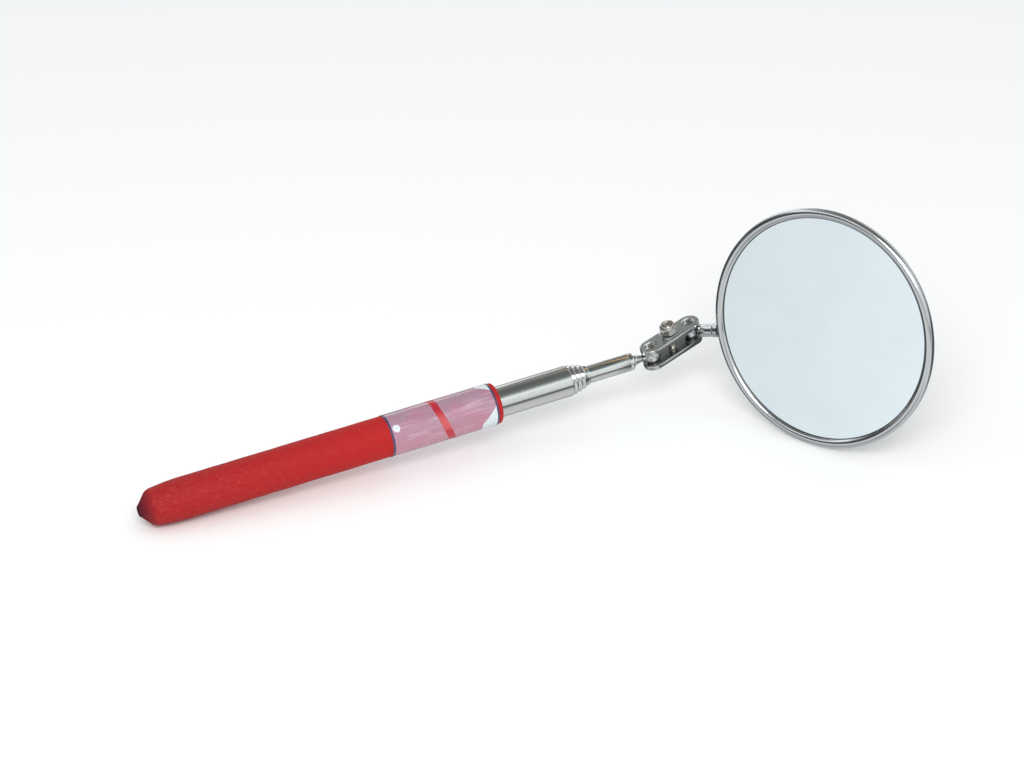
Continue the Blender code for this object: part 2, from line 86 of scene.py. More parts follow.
# ---- Details that the CAD part leaves out, in millimetres ----

TUBE_1_WALL_R = 4.85
TUBE_1_REAR = 6.6
TUBE_2_REAR = 15.1
ROD_REAR = 29.4
NOSE_BEADS = ((5.02, 4.74, 1.75), (4.60, 4.30, 1.75), (4.12, 3.80, 1.7))  # crest radius, groove radius, width
BALL_1_NECK_R = 1.05
BALL_2_NECK_R = 1.15
SCREW_HOLE_R = SCREW_R + 0.2
THREAD_PITCH = 0.5
THREAD_DEPTH = 0.26
SLOT_HALF_LENGTH = 4.0
SLOT_HALF_WIDTH = 0.4
SLOT_DEPTH = 0.7
BOSS_CORNER = 0.35
BOSS_SUNK = 0.5
PLATE_EDGE = 0.42
DOME_SPHERE_R = 3.35
DOME_BASE_R = 2.2
DOME_EDGE_R = 2.45
DOME_FILLET_FROM_R = 1.7
SEAT_SPHERE_R = 2.88
LABEL_RAISE = 0.12
PRINT_SUNK = 0.02
EDGE_LINE_WIDTH = 0.70

# ---- Camera, floor and light, in metres, degrees and watts ----

CAMERA_TARGET = (-0.00719, 0.00269, 0.04154)
CAMERA_DISTANCE = 1.0617
CAMERA_AZIMUTH = 24.39
CAMERA_ELEVATION = 29.70
CAMERA_LENS = 116.0
CAMERA_SENSOR = 36.0
CAMERA_CLIP = (0.01, 50.0)
FLOOR_REACH = 6.0
FLOOR_CELLS = 8
FLOOR_HEIGHT = -0.0003
EVEN_LIGHT = (0.97, 0.985, 1.0, 1.0)
EVEN_STRENGTH = 0.80
KEY_AT = (-0.35, -0.75, 0.85)
KEY_TARGET = (0.0, 0.0, 0.02)
KEY_SIZE = (0.7, 0.5)
KEY_POWER = 7.0
KEY_COLOUR = (1.0, 0.99, 0.97)


def joint(name):
    return next(item for item in frame["joints"] if item["name"] == name)


def place(origin, x_axis, y_axis, z_axis):
    """Matrix from a local frame in millimetres to the row frame in metres."""
    columns = Matrix((x_axis, y_axis, z_axis)).transposed()
    return Matrix.Translation(origin) @ columns.to_4x4() @ Matrix.Scale(0.001, 4)


handle_axis = Vector(joint("middle_slide")["axis"]).normalized()
screw_axis = Vector(joint("clamp_swing")["axis"]).normalized()
stem_axis = Vector(joint("mirror_spin")["axis"]).normalized()
ball_1 = Vector(joint("handle_ball_spin")["pos_m"])
ball_2 = Vector(joint("mirror_swing")["pos_m"])
back_mount = frame["record"]["mounts"][0]
out_of_glass = -Vector(back_mount["axis"]).normalized()
rim_centre = Vector(back_mount["pos_m"]) + out_of_glass * DEPTH * 0.001

side = Vector((0.0, 1.0, 0.0))
HANDLE = place(ball_1 - handle_axis * BALL_1_AT * 0.001, side.cross(handle_axis), side, handle_axis)
along = (ball_2 - ball_1).normalized()
CLAMP = place(ball_1, along, screw_axis.cross(along), screw_axis)
stem_x = stem_axis.cross(out_of_glass).normalized()
STEM = place(ball_2, stem_x, stem_axis.cross(stem_x), stem_axis)
mirror_x = stem_axis.cross(out_of_glass).normalized()
MIRROR = place(rim_centre, mirror_x, out_of_glass.cross(mirror_x), out_of_glass)


# ---- Materials ----

class Look:
    """A Principled material with small helpers for procedural detail in the local frame."""

    def __init__(self, name, colour, metallic, roughness, local=True, **sockets):
        self.material = bpy.data.materials.new(name)
        self.material.use_nodes = True
        self.tree = self.material.node_tree
        self.shader = self.tree.nodes["Principled BSDF"]
        self.set(self.shader, {"Base Color": (*colour, 1.0), "Metallic": metallic, "Roughness": roughness})
        self.set(self.shader, {key.replace("_", " ").title().replace("Ior", "IOR"): value
                               for key, value in sockets.items()})
        if local:
            self.where = self.node("ShaderNodeAttribute", attribute_name="local").outputs["Vector"]
        else:
            scale = self.node("ShaderNodeVectorMath", operation="SCALE")
            scale.inputs["Scale"].default_value = 1000.0
            self.link(self.node("ShaderNodeTexCoord").outputs["Object"], scale.inputs[0])
            self.where = scale.outputs[0]

    def node(self, kind, **values):
        made = self.tree.nodes.new(kind)
        for key, value in values.items():
            setattr(made, key, value)
        return made

    def set(self, node, values):
        for key, value in values.items():
            node.inputs[key].default_value = value

    def link(self, output, socket):
        self.tree.links.new(output, socket)

    def stretched(self, scale):
        mapping = self.node("ShaderNodeMapping")
        self.set(mapping, {"Scale": scale})
        self.link(self.where, mapping.inputs["Vector"])
        return mapping.outputs["Vector"]

    def noise(self, scale, detail=3.0, roughness=0.55, stretch=(1.0, 1.0, 1.0)):
        texture = self.node("ShaderNodeTexNoise")
        self.set(texture, {"Scale": scale, "Detail": detail, "Roughness": roughness})
        self.link(self.stretched(stretch), texture.inputs["Vector"])
        return texture.outputs["Fac"]

    def spread(self, value, low, high, to_low, to_high):
        made = self.node("ShaderNodeMapRange")
        self.set(made, {"From Min": low, "From Max": high, "To Min": to_low, "To Max": to_high})
        self.link(value, made.inputs["Value"])
        return made.outputs["Result"]

    def axis_value(self, axis):
        split = self.node("ShaderNodeSeparateXYZ")
        self.link(self.where, split.inputs[0])
        return split.outputs[axis]

    def radius_value(self):
        """Distance from the local Z axis."""
        flat = self.node("ShaderNodeCombineXYZ")
        self.link(self.axis_value("X"), flat.inputs["X"])
        self.link(self.axis_value("Y"), flat.inputs["Y"])
        length = self.node("ShaderNodeVectorMath", operation="LENGTH")
        self.link(flat.outputs[0], length.inputs[0])
        return length.outputs["Value"]

    def paint_shade(self, where, colour, rougher):
        """Paint shade over the look so far: colour and dull what the mask output covers."""
        base_colour = self.shader.inputs["Base Color"].links[0].from_socket
        sheen = self.shader.inputs["Roughness"].links[0].from_socket
        self.colour(self.mix(where, base_colour, colour))
        self.rough(self.add(sheen, self.spread(where, 0.0, 1.0, 0.0, rougher)))

    def maths(self, operation, first, second):
        made = self.node("ShaderNodeMath", operation=operation)
        self.link(first, made.inputs[0])
        self.link(second, made.inputs[1])
        return made.outputs[0]

    def add(self, first, second):
        return self.maths("ADD", first, second)

    def times(self, first, second):
        return self.maths("MULTIPLY", first, second)

    def mix(self, factor, first, second):
        """Mix two colours, each a tuple or an output."""
        made = self.node("ShaderNodeMix", data_type="RGBA")
        self.link(factor, made.inputs["Factor"])
        for socket, colour in ((made.inputs[6], first), (made.inputs[7], second)):
            if isinstance(colour, tuple):
                socket.default_value = (*colour, 1.0)
            else:
                self.link(colour, socket)
        return made.outputs[2]

    def colour(self, output):
        self.link(output, self.shader.inputs["Base Color"])

    def rough(self, output):
        self.link(output, self.shader.inputs["Roughness"])

    def bump(self, *layers):
        """Layers are (height output, strength, distance in millimetres)."""
        normal = None
        for height, strength, distance in layers:
            made = self.node("ShaderNodeBump")
            self.set(made, {"Strength": strength, "Distance": distance * 0.001})
            self.link(height, made.inputs["Height"])
            if normal is not None:
                self.link(normal, made.inputs["Normal"])
            normal = made.outputs["Normal"]
        self.link(normal, self.shader.inputs["Normal"])


def polished(name, colour, roughness=0.07, grain=(1.0, 1.0, 0.04), haze=0.05, scratch=0.05, local=True):
    """Bright plated steel: faint haze, hairline scratches along the grain, smears and a few dull marks."""
    look = Look(name, colour, 1.0, roughness, local)
    cloud = look.noise(0.35, 4.0)
    hairs = look.noise(9.0, 5.0, 0.7, grain)
    marks = look.noise(2.2, 6.0, 0.75)
    base = look.spread(cloud, 0.35, 0.75, roughness, roughness + haze)
    streak = look.spread(hairs, 0.45, 0.8, 0.0, haze)
    dull = look.spread(marks, 0.62, 0.8, 0.0, 2.0 * haze)
    look.rough(look.add(look.add(base, streak), dull))
    darker = tuple(0.84 * channel for channel in colour)
    look.colour(look.mix(look.spread(marks, 0.35, 0.7, 0.0, 1.0), colour, darker))
    look.bump((hairs, scratch, 0.004), (cloud, 0.10, 0.02))
    return look


def vinyl():
    """Dipped red vinyl: pebbled and cloudy, with painted light falloff from a darker butt to a brighter front,
    scuffed towards the butt, and darker on the butt cone.
    """
    look = Look("grip_vinyl", (0.42, 0.016, 0.018), 0.0, 0.55, specular_ior_level=0.14)
    length = look.axis_value("Z")
    mottle = look.noise(0.45, 6.0, 0.7)
    speck = look.noise(2.4, 5.0, 0.75)
    scuff = look.noise(0.8, 8.0, 0.8, (1.0, 1.0, 0.5))
    # Painted light: the red is darker at the butt and brighter towards the label, for the light falling off along
    # the handle.
    painted_falloff = look.spread(length, 5.0, 90.0, 0.0, 1.0)
    base_colour = look.mix(painted_falloff, (0.335, 0.012, 0.0145), (0.475, 0.0135, 0.0135))
    cloudy = look.mix(look.spread(mottle, 0.36, 0.68, 0.0, 0.7), base_colour, (0.40, 0.022, 0.022))
    worn_end = look.spread(length, 4.0, 75.0, 0.95, 0.25)
    scuffs = look.times(look.spread(scuff, 0.53, 0.70, 0.0, 1.0), worn_end)
    scuffed = look.mix(scuffs, cloudy, (0.475, 0.058, 0.050))
    specks = look.times(look.spread(speck, 0.60, 0.70, 0.0, 1.0), worn_end)
    spotted = look.mix(specks, scuffed, (0.60, 0.15, 0.13))
    # Darker on the butt cone, fading out 4.6 mm from the tip.
    dark_butt_end = look.mix(look.spread(length, -0.6, 4.6, 0.96, 0.0), spotted, (0.045, 0.006, 0.014))
    look.colour(dark_butt_end)
    look.rough(look.spread(mottle, 0.3, 0.7, 0.45, 0.66))
    pebble = look.noise(2.6, 4.0, 0.65)
    look.bump((mottle, 0.35, 0.10), (pebble, 0.55, 0.09), (speck, 0.30, 0.04))
    return look


def label_film():
    """Tinted film, with painted shade on its top side, lighter streaks along it that are partly its own tone and
    partly painted highlight, and small red blots.
    """
    look = Look("label_film", (0.44, 0.22, 0.29), 0.0, 0.22, specular_ior_level=0.5, coat_weight=0.35,
                coat_roughness=0.10)
    blotch = look.noise(0.22, 5.0, 0.65, (1.0, 1.0, 0.55))
    drops = look.noise(0.8, 4.0, 0.7)
    smear = look.noise(0.55, 5.0, 0.65, (1.0, 1.0, 0.12))
    around = look.axis_value("X")
    # Painted shade: the film is darker on its top side and lighter lower down, for the light falling on the round
    # grip.
    base = look.mix(look.spread(around, -6.8, 2.5, 0.0, 1.0), (0.36, 0.23, 0.30), (0.47, 0.225, 0.295))
    warm = look.mix(look.spread(blotch, 0.44, 0.66, 0.0, 0.6), base, (0.46, 0.17, 0.245))
    # Lighter streaks along the film: partly its own streaky tone, partly painted highlight streaks.
    streaks = look.mix(look.spread(smear, 0.53, 0.68, 0.0, 0.75), warm, (0.60, 0.39, 0.47))
    spots = look.mix(look.spread(drops, 0.61, 0.70, 0.0, 0.55), streaks, (0.36, 0.08, 0.14))
    look.colour(spots)
    look.rough(look.spread(blotch, 0.3, 0.7, 0.14, 0.34))
    look.bump((look.noise(0.35, 3.0, 0.5, (1.0, 1.0, 0.3)), 0.5, 0.12), (look.noise(2.0, 4.0), 0.15, 0.03))
    return look


def printed(name, colour, roughness=0.3, highlight_colour=None):
    """Ink under a film; with a second colour, a painted highlight fades to that one half way round."""
    look = Look(name, colour, 0.0, roughness, coat_weight=0.3, coat_roughness=0.12)
    worn = look.noise(1.6, 5.0, 0.7)
    pale = tuple(min(1.0, channel * 1.25 + 0.02) for channel in colour)
    shade = look.mix(look.spread(worn, 0.45, 0.75, 0.0, 0.7), colour, pale)
    if highlight_colour:
        # Painted highlight: the ink turns paler in a band half way round, where light catches the round label.
        round_up = look.spread(look.axis_value("X"), -6.5, -2.5, 0.0, 1.0)
        round_down = look.spread(look.axis_value("X"), -0.6, 0.4, 1.0, 0.0)
        shade = look.mix(look.times(round_up, round_down), shade, highlight_colour)
    look.colour(shade)
    look.rough(look.spread(worn, 0.3, 0.7, roughness * 0.8, roughness * 1.3))
    look.bump((worn, 0.08, 0.02))
    return look


def brass(name):
    look = Look(name, (0.62, 0.44, 0.18), 1.0, 0.3, False)
    tarnish = look.noise(1.2, 5.0, 0.7)
    look.colour(look.mix(look.spread(tarnish, 0.4, 0.7, 0.0, 0.7), (0.66, 0.48, 0.20), (0.40, 0.26, 0.11)))
    look.rough(look.spread(tarnish, 0.3, 0.7, 0.22, 0.42))
    look.bump((look.noise(6.0, 3.0), 0.1, 0.01))
    return look


# ---- Meshes ----

def arc(centre_r, centre_z, radius, start, end, steps):
    """Points (radius, height) on an arc; degrees, 0 points outwards and 90 up."""
    angles = np.radians(np.linspace(start, end, steps + 1))
    return [(centre_r + radius * math.cos(a), centre_z + radius * math.sin(a)) for a in angles]


def fill(outline, step):
    """The same outline with no straight run longer than the step."""
    made = [outline[0]]
    for (r0, z0), (r1, z1) in zip(outline, outline[1:]):
        count = max(1, math.ceil(math.hypot(r1 - r0, z1 - z0) / step))
        made += [(r0 + (r1 - r0) * i / count, z0 + (z1 - z0) * i / count) for i in range(1, count + 1)]
    return made


def smooth(points, rounds=2):
    """Corner cutting that keeps the two ends."""
    near, far = 0.75, 0.25
    for _ in range(rounds):
        made = [points[0]]
        for (r0, z0), (r1, z1) in zip(points, points[1:]):
            made.append((near * r0 + far * r1, near * z0 + far * z1))
            made.append((far * r0 + near * r1, far * z0 + near * z1))
        points = made + [points[-1]]
    return points


def piece(name, verts, faces, matrix, body, look, node=None, sharp=40.0):
    """A mesh object in the row frame from vertices in a local frame."""
    verts = np.asarray(verts, float)
    mesh = bpy.data.meshes.new(name)
    mesh.from_pydata([tuple(v) for v in verts], [], faces)
    mesh.update()
    spot = mesh.attributes.new("local", "FLOAT_VECTOR", "POINT")
    spot.data.foreach_set("vector", verts.astype(np.float32).ravel())
    mesh.transform(matrix)
    mesh.shade_smooth()
    mesh.set_sharp_from_angle(angle=math.radians(sharp))
    made = bpy.data.objects.new(name, mesh)
    bpy.context.scene.collection.objects.link(made)
    mesh.materials.append(look.material)
    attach(made, body)
    if node:
        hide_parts(node)
    return made


def lathe_mesh(outline, segments=128, shift=None):
    """Vertices and faces of an outline spun about Z.

    Points on the axis become poles.  An outline with no pole is closed into a ring.  shift(r, z, angle)
    may move the points, and gives (r, z) arrays.
    """
    angle = np.arange(segments) * 2.0 * math.pi / segments
    verts, rows = [], []
    for radius, height in outline:
        if radius <= 1e-9:
            rows.append([len(verts)])
            verts.append((0.0, 0.0, height))
            continue
        r, z = np.full(segments, radius), np.full(segments, height)
        if shift is not None:
            r, z = shift(r, z, angle)
        rows.append(list(range(len(verts), len(verts) + segments)))
        verts += list(zip(r * np.cos(angle), r * np.sin(angle), z))
    pairs = list(zip(rows, rows[1:]))
    if outline[0][0] > 1e-9:
        pairs.append((rows[-1], rows[0]))
    faces = []
    for low, high in pairs:
        for i in range(segments):
            j = (i + 1) % segments
            quad = [low[i % len(low)], low[j % len(low)], high[j % len(high)], high[i % len(high)]]
            face = list(dict.fromkeys(quad))
            if len(face) > 2:
                faces.append(face)
    return np.array(verts, float), outward(outline, faces)


def outward(outline, faces):
    """Flip faces if the outline runs the wrong way round."""
    closed = outline + [outline[0]]
    area = sum(r0 * z1 - r1 * z0 for (r0, z0), (r1, z1) in zip(closed, closed[1:]))
    return faces if area > 0 else [face[::-1] for face in faces]


def lathe(name, outline, matrix, body, look, node=None, segments=128, shift=None, sharp=40.0,
          at=0.0):
    """A lathed piece, its axis moved by at along the local X axis."""
    verts, faces = lathe_mesh(outline, segments, shift)
    verts[:, 0] += at
    return piece(name, verts, faces, matrix, body, look, node, sharp)


def wave_field(seed, count, longest, shortest):
    """A smooth random height over (angle, z) from sine waves, about -1 to 1."""
    rng = np.random.default_rng(seed)
    turns = rng.integers(-7, 8, count)
    lengths = rng.uniform(shortest, longest, count)
    phases = rng.uniform(0, 2 * math.pi, count)

    def height(angle, z):
        total = 0.0
        for turn, length, phase in zip(turns, lengths, phases):
            total = total + np.sin(turn * angle + 2 * math.pi * z / length + phase)
        return total / math.sqrt(count)
    return height


# ---- Handle ----

def build_grip():
    """Cushion sleeve, closed at the butt by a blunt cone and a small nub."""
    lumps = wave_field(3, 14, 26.0, 5.0)
    pits = wave_field(8, 18, 5.0, 2.2)

    def shift(r, z, angle):
        outside = (r > 5.8) & (z > 2.0) & (z < GRIP_END - 0.7)
        ripple = np.where(outside, 0.022 * lumps(angle, z) + 0.010 * pits(angle, z), 0.0)
        swell = 0.07 * lumps(angle, z * 2.0) * np.clip(r / 6.0, 0, 1)
        butt = np.where((z < 5.0) & (r > 0.5), swell, 0.0)
        return r - np.where(outside, 0.03, 0.0) + ripple + butt, z
    outline = [(0.0, GRIP_TIP), (1.2, GRIP_TIP + 0.02)]
    outline += arc(1.55, GRIP_TIP + 0.42, 0.4, -80, -30, 4)
    outline += smooth([(2.1, 0.0), (2.6, 0.45), (3.9, 1.65), (5.0, 2.65), (5.75, 3.4), (6.15, 4.2),
                       (6.4, 6.0), (6.68, 8.6), (6.9, 11.4), (GRIP_R, 14.5)])
    outline += [(GRIP_R, LABEL_LOW - 0.5), (GRIP_R - 0.1, LABEL_LOW), (GRIP_R - 0.1, LABEL_HIGH),
                (GRIP_R, LABEL_HIGH + 0.3)]
    outline += arc(GRIP_R - 0.85, GRIP_END - 0.85, 0.85, 0, 90, 8)
    bore = TUBE_1_R + 0.12
    outline += [(bore + 0.23, GRIP_END - 0.05), (bore + 0.06, GRIP_END - 0.3), (bore, GRIP_END - 1.0),
                (bore, TUBE_1_REAR - 0.2), (0.0, TUBE_1_REAR - 0.2)]
    lathe("grip_cushion", fill(outline, 0.9), HANDLE, "handle", vinyl(), "grip", 120, shift, 60.0)


def wrapped(name, loop, thick, look, step=3.0):
    """Print on the label: a convex outline of (angle in degrees, z), cut into strips by angle."""
    radius = GRIP_R + LABEL_RAISE - PRINT_SUNK
    angles = [a for a, _ in loop]
    low, high = min(angles), max(angles)
    count = max(2, math.ceil((high - low) / step))
    stops = sorted(set(list(np.linspace(low, high, count + 1)) + [float(a) for a in angles]))

    def span(angle):
        found = []
        closed = loop + [loop[0]]
        for (a0, z0), (a1, z1) in zip(closed, closed[1:]):
            if abs(a1 - a0) < 1e-9:
                if abs(angle - a0) < 1e-6:
                    found += [z0, z1]
            elif min(a0, a1) - 1e-6 <= angle <= max(a0, a1) + 1e-6:
                found.append(z0 + (z1 - z0) * (angle - a0) / (a1 - a0))
        return min(found), max(found)
    verts, rows = [], []
    for stop in stops:
        bottom, top = span(stop)
        if top - bottom < 0.02:
            bottom, top = (bottom + top) / 2 - 0.01, (bottom + top) / 2 + 0.01
        a = math.radians(stop)
        rows.append(len(verts))
        for r, z in ((radius, bottom), (radius + thick, bottom), (radius + thick, top), (radius, top)):
            verts.append((r * math.cos(a), r * math.sin(a), z))
    faces = []
    for first, second in zip(rows, rows[1:]):
        for i in range(4):
            j = (i + 1) % 4
            faces.append([first + i, second + i, second + j, first + j])
    faces += [[rows[0] + i for i in range(4)], [rows[-1] + 3 - i for i in range(4)]]
    return piece(name, verts, faces, HANDLE, "handle", look, None, 30.0)


def build_label():
    """Film round the grip, and over it the two edge lines, the band, the corner patches and the spot."""
    film_out = GRIP_R + LABEL_RAISE
    outline = [(GRIP_R - 0.05, LABEL_LOW)]
    outline += arc(film_out - 0.06, LABEL_LOW + 0.06, 0.06, -90, 0, 3)
    outline += arc(film_out - 0.06, LABEL_HIGH - 0.06, 0.06, 0, 90, 3)
    outline += [(GRIP_R - 0.05, LABEL_HIGH)]
    ripple = wave_field(21, 10, 22.0, 6.0)

    def shift(r, z, angle):
        return np.where(r > GRIP_R, r + 0.015 * ripple(angle, z), r), z
    lathe("label_film", fill(outline, 1.2), HANDLE, "handle", label_film(), "label", 120, shift,
          50.0)
    navy = printed("label_edge_ink", (0.05, 0.04, 0.10))
    red = printed("label_red_ink", (0.44, 0.012, 0.03), highlight_colour=(0.56, 0.09, 0.09))
    white = printed("label_white_ink", (0.64, 0.70, 0.73))
    for name, low in (("label_rear_line", LABEL_LOW + 0.02), ("label_front_line", LABEL_HIGH - 0.74)):
        inner, outer, high = film_out - PRINT_SUNK, film_out + 0.03, low + EDGE_LINE_WIDTH
        lathe(name, [(inner, low), (outer, low), (outer, high), (inner, high)], HANDLE, "handle", navy, None,
              120)
    band = [(-214.0, 101.9), (-180.0, 102.3), (-150.0, 102.5), (-120.0, 103.3), (-90.0, 104.4),
            (-60.0, 105.7), (-20.0, 107.2), (-20.0, 109.8), (-60.0, 108.3), (-90.0, 107.0),
            (-120.0, 105.9), (-150.0, 105.0), (-180.0, 104.8), (-214.0, 104.5)]
    wrapped("label_band", band, 0.05, red)
    corner = [(-116.0, 123.6), (-72.0, 118.2), (-40.0, 118.2), (-40.0, 123.6)]
    wrapped("label_corner_lower", corner, 0.045, white)
    corner = [(-214.0, 119.6), (-190.0, 119.6), (-164.0, 123.6), (-214.0, 123.6)]
    wrapped("label_corner_upper", corner, 0.045, white)
    centre_angle, centre_z, half_angle, half_z, uneven = -134.8, 88.35, 10.3, 1.28, 0.05
    spot = [(centre_angle + half_angle * math.cos(t) * (1 + uneven * math.sin(2 * t + 0.6)),
             centre_z + half_z * math.sin(t) * (1 + uneven * math.cos(3 * t)))
            for t in np.linspace(0, 2 * math.pi, 25)[:-1]]
    wrapped("label_spot", spot, 0.055, white, 1.0)


def nose_profile():
    """Three rolled beads, each smaller than the one behind it."""
    points = [(TUBE_1_R, NOSE_LOW - 0.9), (TUBE_1_R, NOSE_LOW - 0.25), (TUBE_1_R - 0.10, NOSE_LOW)]
    start = NOSE_LOW + 0.15
    for crest, groove, width in NOSE_BEADS:
        points += [(groove, start), (groove + 0.02, start + 0.18)]
        points += [(crest - 0.04, start + 0.42 * width), (crest, start + 0.62 * width),
                   (crest - 0.10, start + 0.88 * width)]
        start += width
    points += [(3.52, start + 0.05), (3.46, start + 0.35), (3.38, start + 0.9), (3.34, NOSE_HIGH - 0.25)]
    return smooth(points, 2)


def build_tubes():
    """The three telescoping sections."""
    steel = polished("outer_tube_chrome", (0.75, 0.755, 0.75), 0.06)
    outline = [(TUBE_1_R, TUBE_1_REAR)] + [(TUBE_1_R, z) for z in np.arange(20.0, 150.0, 10.0)]
    outline += nose_profile()
    bore = TUBE_2_R + 0.1
    outline += [(bore + 0.14, NOSE_HIGH - 0.04), (bore + 0.04, NOSE_HIGH), (bore, NOSE_HIGH - 0.1),
                (bore, NOSE_HIGH - 3.5), (TUBE_1_WALL_R, NOSE_LOW - 0.6), (TUBE_1_WALL_R, TUBE_1_REAR)]
    lathe("outer_tube_body", outline, HANDLE, "handle", steel, "outer_tube", 144)

    steel = polished("middle_tube_chrome", (0.75, 0.755, 0.75), 0.06)
    wall = 2.55
    outline = [(wall, TUBE_2_REAR), (TUBE_2_R - 0.1, TUBE_2_REAR), (TUBE_2_R, TUBE_2_REAR + 0.1)]
    outline += [(TUBE_2_R, z) for z in np.arange(25.0, 170.0, 10.0)]
    outline += [(TUBE_2_R, TUBE_2_END - 1.9), (TUBE_2_R - 0.05, TUBE_2_END - 1.72),
                (TUBE_2_R - 0.05, TUBE_2_END - 1.6), (TUBE_2_R - 0.01, TUBE_2_END - 1.4)]
    outline += arc(TUBE_2_R - 0.55, TUBE_2_END - 0.55, 0.55, 0, 90, 8)
    outline += [(2.15, TUBE_2_END), (2.08, TUBE_2_END - 0.1), (2.08, TUBE_2_END - 0.5),
                (wall, TUBE_2_END - 0.9)]
    lathe("middle_tube_body", outline, HANDLE, "middle_section", steel, "middle_tube", 112)

    steel = polished("inner_rod_chrome", (0.78, 0.78, 0.77), 0.08)
    outline = [(0.0, ROD_REAR), (ROD_R - 0.3, ROD_REAR), (ROD_R, ROD_REAR + 0.3)]
    outline += [(ROD_R, z) for z in np.arange(40.0, 175.0, 10.0)]
    outline += [(ROD_R, TUBE_2_END - 0.3), (0.0, TUBE_2_END - 0.3)]
    lathe("inner_rod_body", outline, HANDLE, "inner_section", steel, "inner_rod", 72)


def ball_outline(neck, steps=26):
    """A ball centred at height 0, from its far pole to the neck."""
    last = math.degrees(math.acos(neck / BALL_R))
    return [(0.0, -BALL_R)] + arc(0.0, 0.0, BALL_R, -90, last, steps)[1:]


def build_handle_ball():
    """Ball, neck and cone at the end of the telescope."""
    look = polished("handle_ball_chrome", (0.76, 0.76, 0.76), 0.08)
    base = TUBE_2_END + 0.3 - BALL_1_AT
    neck = BALL_1_NECK_R
    outline = [(r, -z) for r, z in ball_outline(neck)]
    outline += smooth([(neck, -2.75), (neck, -3.6), (neck + 0.06, -4.2), (1.36, -5.4), (1.68, base + 0.9)], 2)
    outline += [(1.76, base + 0.55), (1.74, base + 0.06), (1.68, base), (0.0, base)]
    outline = [(r, z + BALL_1_AT) for r, z in outline]
    lathe("handle_ball_chromed", outline, HANDLE, "handle_ball", look, "handle_ball_stud",
          72)


# ---- Clamp ----

def stadium_point(radius, share):
    """Point on a round-ended outline about both balls, share 0 to 1 round it, starting at the lower right."""
    half = math.pi * PLATE_R
    run = (share % 1.0) * 2 * (SPACING + half)
    if run < half:
        a = -math.pi / 2 + run / PLATE_R
        return SPACING + radius * math.cos(a), radius * math.sin(a)
    run -= half
    if run < SPACING:
        return SPACING - run, radius
    run -= SPACING
    if run < half:
        a = math.pi / 2 + run / PLATE_R
        return radius * math.cos(a), radius * math.sin(a)
    return run - half, -radius


def dome_height(x, y):
    """Height of the two pressed domes over a plate's flat outer face."""
    height = 0.0
    for centre in (0.0, SPACING):
        d = math.hypot(x - centre, y)
        if d < DOME_EDGE_R:
            cap = math.sqrt(DOME_SPHERE_R ** 2 - d ** 2) - math.sqrt(DOME_SPHERE_R ** 2 - DOME_BASE_R ** 2)
            cap = max(0.0, cap)
            fillet = max(0.0, (d - DOME_FILLET_FROM_R) / (DOME_EDGE_R - DOME_FILLET_FROM_R))
            height += cap * (1 - fillet) + fillet * cap * 0.4
    return height


def plate(name, node, matrix, look):
    """Stamped plate with rounded edges, a dome over each ball and a round seat under each dome."""
    around = 220
    inset = [0.0, 0.06, 0.16, 0.30, PLATE_EDGE] + list(np.linspace(0.6, PLATE_R - 0.02, 26))
    rings = []
    for r in np.linspace(0.02, PLATE_R - 0.25, 26):
        ring = []
        for i in range(around):
            x, y = stadium_point(r, i / around)
            seat = min(math.hypot(x, y), math.hypot(x - SPACING, y))
            lift = math.sqrt(max(0.0, SEAT_SPHERE_R ** 2 - seat ** 2))
            ring.append((x, y, max(PLATE_IN, lift)))
        rings.append(ring)
    for r, z in ((PLATE_R - 0.08, PLATE_IN + 0.03), (PLATE_R, PLATE_IN + 0.15),
                 (PLATE_R, PLATE_OUT - PLATE_EDGE)):
        rings.append([(*stadium_point(r, i / around), z) for i in range(around)])
    for step in inset:
        drop = PLATE_EDGE - math.sqrt(PLATE_EDGE ** 2 - max(0.0, PLATE_EDGE - step) ** 2)
        ring = []
        for i in range(around):
            x, y = stadium_point(PLATE_R - step, i / around)
            ring.append((x, y, PLATE_OUT - drop + dome_height(x, y)))
        rings.append(ring)
    verts = [point for ring in rings for point in ring]
    last = (len(rings) - 1) * around
    faces = []
    for start in range(0, last, around):
        faces += ring_faces(start, start + around, around)
    faces += [list(range(around))[::-1], list(range(last, last + around))]
    return piece(name, verts, faces, matrix, "clamp", look, node, 35.0)


def ring_faces(first, second, around):
    """Faces between two rings of vertices, given by their first numbers."""
    steps = [(i, (i + 1) % around) for i in range(around)]
    return [[first + i, first + j, second + j, second + i] for i, j in steps]


def carve(made, matrix, cutters):
    """Cut the cutters out of a piece, remove them, and renew the piece's local places."""
    for tool in cutters:
        step = made.modifiers.new(tool.name, "BOOLEAN")
        step.operation = "DIFFERENCE"
        step.solver = "EXACT"
        step.object = tool
    bpy.context.view_layer.update()
    whole = bpy.data.meshes.new_from_object(made.evaluated_get(bpy.context.evaluated_depsgraph_get()))
    made.modifiers.clear()
    made.data = whole
    for tool in cutters:
        bpy.data.objects.remove(tool, do_unlink=True)
    if "local" in whole.attributes:
        whole.attributes.remove(whole.attributes["local"])
    back = matrix.inverted()
    places = np.array([back @ vertex.co for vertex in whole.vertices], np.float32)
    whole.attributes.new("local", "FLOAT_VECTOR", "POINT").data.foreach_set("vector", places.ravel())
    whole.shade_smooth()
    whole.set_sharp_from_angle(angle=math.radians(35.0))


def cutter(name, verts, faces, matrix):
    mesh = bpy.data.meshes.new(name)
    mesh.from_pydata([tuple(v) for v in verts], [], faces)
    mesh.transform(matrix)
    made = bpy.data.objects.new(name, mesh)
    bpy.context.scene.collection.objects.link(made)
    return made


def round_cutter(outline, matrix):
    """A lathed cutter on the screw's axis."""
    verts, faces = lathe_mesh(outline, 64)
    verts[:, 0] += SPACING / 2
    return cutter("cutter", verts, faces, matrix)


